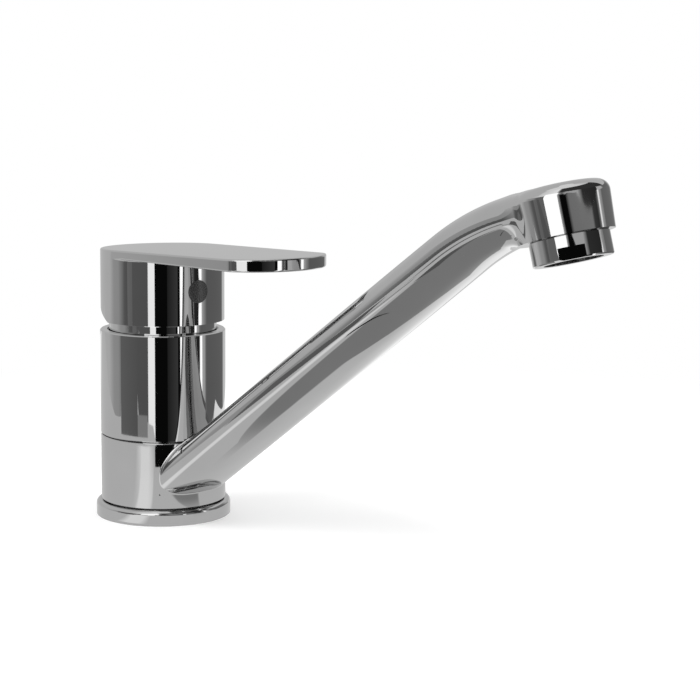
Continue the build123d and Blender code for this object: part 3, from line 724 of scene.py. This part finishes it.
def make_spout():
    """The casting's outer form with its fillets, cut for the collar, the sleeve and the aerator."""
    points, faces = surface_net(spout_distance, SKIN_LOW, SKIN_HIGH, SKIN_CELL)
    points = settled(spout_distance, points, faces)
    spout = new_object("spout_skin", points * MM, faces.tolist())
    refine(spout, head_distance, HEAD_REACH, HEAD_DIVISIONS)
    refine(spout, collar_distance, ROOT_REACH, ROOT_DIVISIONS)
    carve(spout, spout_cutters())
    shade_spout(spout)
    spout.data.materials.append(FINISHES["cast_chrome"])
    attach(spout, "spout")
    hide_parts("spout_casting")


# Studio

WHITE = 1.75
BLACK = 0.004
WALL_RADIUS = 0.75
WALL_STEP = 3
LOW_HEIGHTS = (-1.5, 0.08)

# Walls that the chrome reflects: the heights of a layer, then two bearings and the brightness at both
WALLS = {
    "low": (LOW_HEIGHTS, [
        (-180, -114, 0.62, 0.62), (-114, -100, 0.62, 0.42), (-100, -88, 0.42, 0.40),
        (-88, -74, 0.40, 0.14), (-74, -67, 0.14, 0.12), (-67, -57, 0.20, 0.18),
        (-57, -27, 0.13, 0.12), (-14.5, 8, BLACK, BLACK), (8, 27, 0.02, 0.06),
        (27, 31, BLACK, BLACK), (31.5, 37, WHITE, WHITE), (38, 59, 0.13, 0.12),
        (59, 70, 0.03, 0.02), (71, 75.5, WHITE, WHITE), (75.5, 80, 0.65, 0.42),
        (80, 88, 0.40, 0.16), (88, 140, 0.15, 0.17), (140, 146, 0.17, 0.70), (146, 180, 0.70, 0.60),
    ]),
    "middle": ((0.08, 0.285), [
        (-180, -160, 0.54, 0.62), (-160, -100, 0.62, 0.62), (-100, -86, 0.62, 0.43),
        (-86, -70, 0.43, 0.38), (-70, -60, 0.38, 0.20), (-60, -39, 0.18, 0.18),
        (-39, -9, WHITE, WHITE), (-9, -4, 0.6, 0.03), (-4, 7, BLACK, BLACK), (7, 12, 0.03, 0.24),
        (12, 50, 0.24, 0.28), (50, 54, 0.28, 0.06), (54, 64, 0.06, 0.04), (64, 70, 0.04, 0.3),
        (70, 74, 1.2, 1.2), (74, 82, 0.55, 0.3), (82, 125, 0.19, 0.22), (125, 140, 0.22, 0.60),
        (140, 180, 0.60, 0.54),
    ]),
    "upper": ((0.285, 0.42), [
        (-180, -75, 0.64, 0.64), (-75, -39, 0.64, 1.1), (-39, -8, WHITE, WHITE), (-8, 0, 0.5, 0.12),
        (0, 8, 0.2, 0.55), (8, 30, 0.55, 0.55), (30, 38, 0.5, 0.05), (38, 71, 0.04, 0.03),
        (71, 86, 0.62, 0.62), (86, 92, 0.55, 0.2), (92, 125, 0.18, 0.2), (125, 150, 0.2, 0.64),
        (150, 180, 0.64, 0.64),
    ]),
    "flag": ((0.42, 1.15), [
        (-180, -60, 0.64, 0.64), (-60, -12, 0.85, 1.2), (-12, -6, 0.6, 0.05), (-6, 98, 0.045, 0.045),
        (98, 130, 0.7, 0.64), (130, 180, 0.64, 0.64),
    ]),
    "high": ((1.15, 4.0), [
        (-180, -70, 0.64, 0.64), (-70, 60, 1.0, 1.0), (60, 100, 0.9, 0.7), (100, 180, 0.64, 0.64),
    ]),
}

# Low strips near the base: bearings, heights, brightness at both ends, and radius
LIPS = {
    "front_lip": ((-14, 29), (0, 0.0095), (BLACK, BLACK), 0.135),
    "side_lip_low": ((-45, -27), (0, 0.011), (0.30, 0.30), 0.200),
    "side_lip": ((-79, -45), (0, 0.050), (0.17, 0.13), 0.200),
}

# Bright board to the left of the camera: its two ends, towards the camera and to the right
PANEL_ENDS = ((0.385, -0.188), (1.62, -0.435))
PANEL_BRIGHTNESS = 1.35

# Painted pool of light on the tabletop, left of the camera: bearings and the brightness at each
GLARE = ((-48, 0.66), (-38, 1.05), (-25, 1.05), (-16, 0.66))
GLARE_RADII = (0.029, 0.18)
GLARE_HEIGHT = 0.0004

# Tabletop in the reflections: its outline towards the camera and to the right, and its light, painted
# brighter to the right
TABLE_OUTLINE = (
    (0.170, -0.030), (0.170, 0.070), (0.120, 0.150), (0.040, 0.200), (-0.045, 0.235), (-0.088, 0.272),
    (-0.163, 0.185), (-0.500, -0.100), (-0.500, -0.500), (-0.150, -0.300), (-0.023, -0.246),
    (0.040, -0.243), (0.093, -0.552), (0.360, -0.430), (0.180, -0.170), (0.210, -0.130),
    (0.220, -0.070),
)
TABLE_BRIGHTNESS = 0.66
# Painted light: the tabletop's emission is raised towards +Y, right of the arm
TABLE_GAIN = 1.7
TABLE_GAIN_ACROSS = (0.06, 0.19)

# Painted shadow of the arm on that tabletop, which widens along the arm to its left and to its right
TABLE_SHADED = 0.28
SHADE_ONSET = (0.035, 0.070)
SHADE_EDGE = (0.85, 1.15)
SHADE_LEAST_WIDTH = 0.005
LEFT_START = 0.048
LEFT_WIDENING = 1.75
RIGHT_START = 0.020
RIGHT_WIDENING = 0.35
RIGHT_STEP = (0.096, 0.120)
RIGHT_STEP_WIDTH = 0.2

# Floor that the camera sees. It fades to white away from the tap.
FLOOR_HALF = 4.0
FLOOR_TONE = (0.84, 0.86)
FLOOR_TONE_SCALE = 3.0
FLOOR_TONE_DETAIL = 2.0
FLOOR_ROUGHNESS = 0.9
FLOOR_BRIGHTNESS = 0.22
FLOOR_MIDDLE = (0.09, 0.0, 0.0)
FLOOR_FADE = (0.18, 0.45)

# Light of the room on matt surfaces, and the lamps: place in the studio, size and power
ROOM_BRIGHTNESS = 0.64
LAMPS = {
    "key_lamp": ((0.4, -0.9, 1.3), 1.0, 14.0),
    "fill_lamp": ((0.2, 1.0, 1.1), 1.2, 10.0),
}
LAMP_TARGET = Vector((0.08, 0, 0.06))


def only_in_reflections(card):
    """A card that the chrome sees and nothing else does."""
    card.visible_camera = False
    card.visible_diffuse = False
    card.visible_shadow = False
    card.visible_transmission = False
    card.visible_volume_scatter = False


def stored_brightness(tree):
    """The brightness that a card keeps at its corners."""
    stored = tree.nodes.new("ShaderNodeAttribute")
    stored.attribute_name = "brightness"
    return stored.outputs["Fac"]


def light_card(name, corners, faces, brightness, material):
    """Card that only reflections show, from its corners and the brightness at each."""
    card = new_object(name, corners, faces)
    stored = card.data.attributes.new("brightness", "FLOAT", "POINT")
    stored.data.foreach_set("value", brightness)
    card.data.materials.append(material)
    only_in_reflections(card)


def wall(name, span, heights, brightness, material, radius=WALL_RADIUS):
    """Curved card round the tap between two bearings."""
    steps = max(2, int(abs(span[1] - span[0]) / WALL_STEP))
    corners, values = [], []
    for step in range(steps + 1):
        share = step / steps
        for height in heights:
            corners.append(ring_point(span[0] + (span[1] - span[0]) * share, radius, height))
            values.append(brightness[0] + (brightness[1] - brightness[0]) * share)
    faces = [(2 * i, 2 * i + 2, 2 * i + 3, 2 * i + 1) for i in range(steps)]
    light_card(name, corners, faces, values, material)


def make_panel(material):
    """The bright board to the left of the camera."""
    corners = [studio_point(*place, height) for height in LOW_HEIGHTS for place in PANEL_ENDS]
    light_card("panel_left", corners, [(0, 1, 3, 2)], [PANEL_BRIGHTNESS] * 4, material)


def make_glare(material):
    """The painted pool of light on the tabletop."""
    corners, values = [], []
    for bearing, brightness in GLARE:
        for radius in GLARE_RADII:
            corners.append(ring_point(bearing, radius, GLARE_HEIGHT))
            values.append(brightness)
    faces = [(2 * i, 2 * i + 1, 2 * i + 3, 2 * i + 2) for i in range(len(GLARE) - 1)]
    light_card("table_glare", corners, faces, values, material)


def make_cards():
    """The walls, strips, board and patch that the chrome reflects."""
    material = light_material("card_light", stored_brightness)
    for layer, (heights, spans) in WALLS.items():
        for number, (start, end, first, last) in enumerate(spans):
            wall(f"wall_{layer}_{number}", (start, end), heights, (first, last), material)
    for name, (span, heights, brightness, radius) in LIPS.items():
        wall(name, span, heights, brightness, material, radius)
    make_panel(material)
    make_glare(material)


def camera_or_glossy(tree):
    """One for rays from the camera, in reflections and through glass, nought for light on matt surfaces."""
    path = tree.nodes.new("ShaderNodeLightPath")
    either = calculated(tree, "MAXIMUM", path.outputs["Is Camera Ray"], path.outputs["Is Glossy Ray"])
    return calculated(tree, "MAXIMUM", either, path.outputs["Is Transmission Ray"])


def floor_material():
    """Pale matt floor that keeps the tap's shadow, and turns to white away from the tap."""
    material, tree, shader = new_material("pale_floor")
    tone = added_noise(tree, FLOOR_TONE_SCALE, FLOOR_TONE_DETAIL, *FLOOR_TONE)
    tree.links.new(grey_from(tree, tone), shader.inputs["Base Color"])
    shader.inputs["Roughness"].default_value = FLOOR_ROUGHNESS
    shader.inputs["Specular IOR Level"].default_value = 0.0
    seen = camera_or_glossy(tree)
    lift = tree.nodes.new("ShaderNodeEmission")
    tree.links.new(calculated(tree, "MULTIPLY", seen, FLOOR_BRIGHTNESS), lift.inputs["Strength"])
    near = tree.nodes.new("ShaderNodeAddShader")
    tree.links.new(shader.outputs["BSDF"], near.inputs[0])
    tree.links.new(lift.outputs["Emission"], near.inputs[1])
    white = tree.nodes.new("ShaderNodeEmission")
    tree.links.new(seen, white.inputs["Strength"])
    apart = tree.nodes.new("ShaderNodeVectorMath")
    apart.operation = "DISTANCE"
    apart.inputs[1].default_value = FLOOR_MIDDLE
    tree.links.new(object_place(tree), apart.inputs[0])
    away = eased(tree, apart.outputs["Value"], FLOOR_FADE, (0.0, 1.0))
    total = tree.nodes.new("ShaderNodeMixShader")
    tree.links.new(away, total.inputs["Fac"])
    tree.links.new(near.outputs["Shader"], total.inputs[1])
    tree.links.new(white.outputs["Emission"], total.inputs[2])
    tree.links.new(total.outputs["Shader"], tree.nodes["Material Output"].inputs["Surface"])
    return material


def widening(tree, along, start, rate):
    """A width that grows along the arm from a starting place."""
    return calculated(tree, "MULTIPLY", calculated(tree, "SUBTRACT", along, start), rate)


def table_strength(tree):
    """Painted light of the tabletop: a painted shadow under the arm, and painted brighter to the right of
    it.
    """
    parts = tree.nodes.new("ShaderNodeSeparateXYZ")
    tree.links.new(object_place(tree), parts.inputs["Vector"])
    along, across = parts.outputs["X"], parts.outputs["Y"]
    left = widening(tree, along, LEFT_START, LEFT_WIDENING)
    left_width = calculated(tree, "MAXIMUM", left, SHADE_LEAST_WIDTH)
    left_share = calculated(tree, "DIVIDE", calculated(tree, "MULTIPLY", across, -1.0), left_width)
    right = widening(tree, along, RIGHT_START, RIGHT_WIDENING)
    step = eased(tree, along, RIGHT_STEP, (0.0, RIGHT_STEP_WIDTH))
    right_width = calculated(tree, "ADD", step, calculated(tree, "MAXIMUM", right, SHADE_LEAST_WIDTH))
    right_share = calculated(tree, "DIVIDE", across, right_width)
    share = calculated(tree, "MAXIMUM", left_share, right_share)
    # Painted shadow of the arm: the tabletop's emitted light is lowered in a wedge under the arm
    shade = eased(tree, share, SHADE_EDGE, (TABLE_SHADED, TABLE_BRIGHTNESS))
    shade = mixed(tree, eased(tree, along, SHADE_ONSET, (0.0, 1.0)), TABLE_BRIGHTNESS, shade)
    # Painted light: brighter towards +Y
    gain = eased(tree, across, TABLE_GAIN_ACROSS, (1.0, TABLE_GAIN))
    return calculated(tree, "MULTIPLY", shade, gain)


def make_floor():
    """The floor that the camera sees, and the tabletop that the chrome sees."""
    corners = [(x * FLOOR_HALF, y * FLOOR_HALF, 0) for x, y in ((-1, -1), (1, -1), (1, 1), (-1, 1))]
    floor = new_object("floor", corners, [(0, 1, 2, 3)])
    floor.data.materials.append(floor_material())
    floor.visible_glossy = False
    corners = [studio_point(toward, right, 0) for toward, right in TABLE_OUTLINE]
    table = new_object("tabletop", corners, [tuple(range(len(corners)))])
    table.data.materials.append(light_material("table_light", table_strength))
    only_in_reflections(table)


def make_world():
    """White to the camera and behind the reflected cards, a soft grey light for the matt surfaces."""
    world = bpy.data.worlds.new("studio")
    bpy.context.scene.world = world
    world.use_nodes = True
    tree = world.node_tree
    background = tree.nodes["Background"]
    background.inputs["Color"].default_value = (1, 1, 1, 1)
    strength = mapped(tree, camera_or_glossy(tree), (0.0, 1.0), (ROOM_BRIGHTNESS, 1.0))
    tree.links.new(strength, background.inputs["Strength"])


def lamp(name, place, size, power):
    """Soft square lamp that looks at the tap. It is left out of the reflections, which the cards make."""
    light = bpy.data.lights.new(name, "AREA")
    light.shape = "SQUARE"
    light.size = size
    light.energy = power
    holder = bpy.data.objects.new(name, light)
    bpy.context.scene.collection.objects.link(holder)
    holder.location = place
    holder.rotation_mode = "QUATERNION"
    holder.rotation_quaternion = (LAMP_TARGET - place).to_track_quat("-Z", "Y")
    holder.visible_glossy = False


def make_camera():
    """Camera at the photograph's place and angle."""
    heading = CAMERA_BEARING + pi + radians(-CAMERA_YAW)
    pitch = radians(CAMERA_PITCH)
    forward = Vector((cos(heading) * cos(pitch), sin(heading) * cos(pitch), sin(pitch)))
    right = Vector((sin(heading), -cos(heading), 0))
    up = right.cross(forward)
    roll = radians(CAMERA_ROLL)
    turned_right = right * cos(roll) + up * sin(roll)
    turned_up = up * cos(roll) - right * sin(roll)
    data = bpy.data.cameras.new("camera")
    data.lens = CAMERA_LENS
    data.sensor_width = SENSOR_WIDTH
    data.clip_start = CAMERA_CLIP
    camera = bpy.data.objects.new("camera", data)
    bpy.context.scene.collection.objects.link(camera)
    camera.matrix_world = Matrix((
        (turned_right.x, turned_up.x, -forward.x, CAMERA_PLACE.x),
        (turned_right.y, turned_up.y, -forward.y, CAMERA_PLACE.y),
        (turned_right.z, turned_up.z, -forward.z, CAMERA_PLACE.z),
        (0, 0, 0, 1),
    ))
    bpy.context.scene.camera = camera


dress_nodes()
make_spout()
make_floor()
make_cards()
make_world()
for name, (place, size, power) in LAMPS.items():
    lamp(name, studio_point(*place), size, power)
make_camera()
bpy.context.scene.view_settings.view_transform = "Standard"
